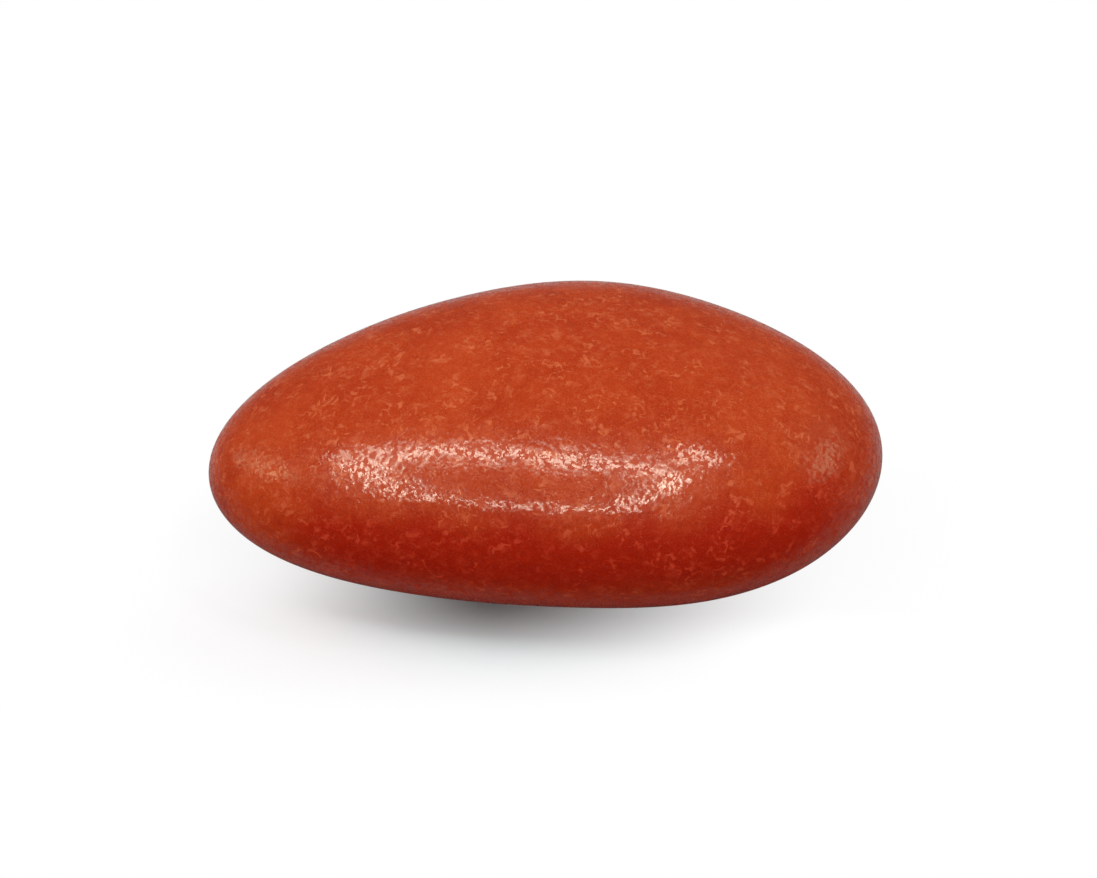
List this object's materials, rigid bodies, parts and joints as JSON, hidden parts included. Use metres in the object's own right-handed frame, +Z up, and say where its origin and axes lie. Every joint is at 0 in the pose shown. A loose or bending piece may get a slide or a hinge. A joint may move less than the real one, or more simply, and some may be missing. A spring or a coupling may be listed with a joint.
{
  "type": "sugared almond",
  "caption": "Almond in a polished shell of orange-red sugar: a pointed end, a fuller round end and a small flat spot underneath that it lies on.",
  "frame": {"origin": "on the surface that the sweet lies on, under the middle of its box", "axes": "+X along the sweet from its pointed end to its round end, +Y across it towards the side that bulges more, +Z up through its belly"},
  "size_m": [0.028, 0.0168, 0.0109],
  "materials": {
    "polished_sugar": "waxed and polished coloured sugar, soft gloss broken by a fine grain, with small paler pink flecks"
  },
  "bodies": {
    "root": {"sugared_almond": "polished_sugar"}
  },
  "joints": []
}
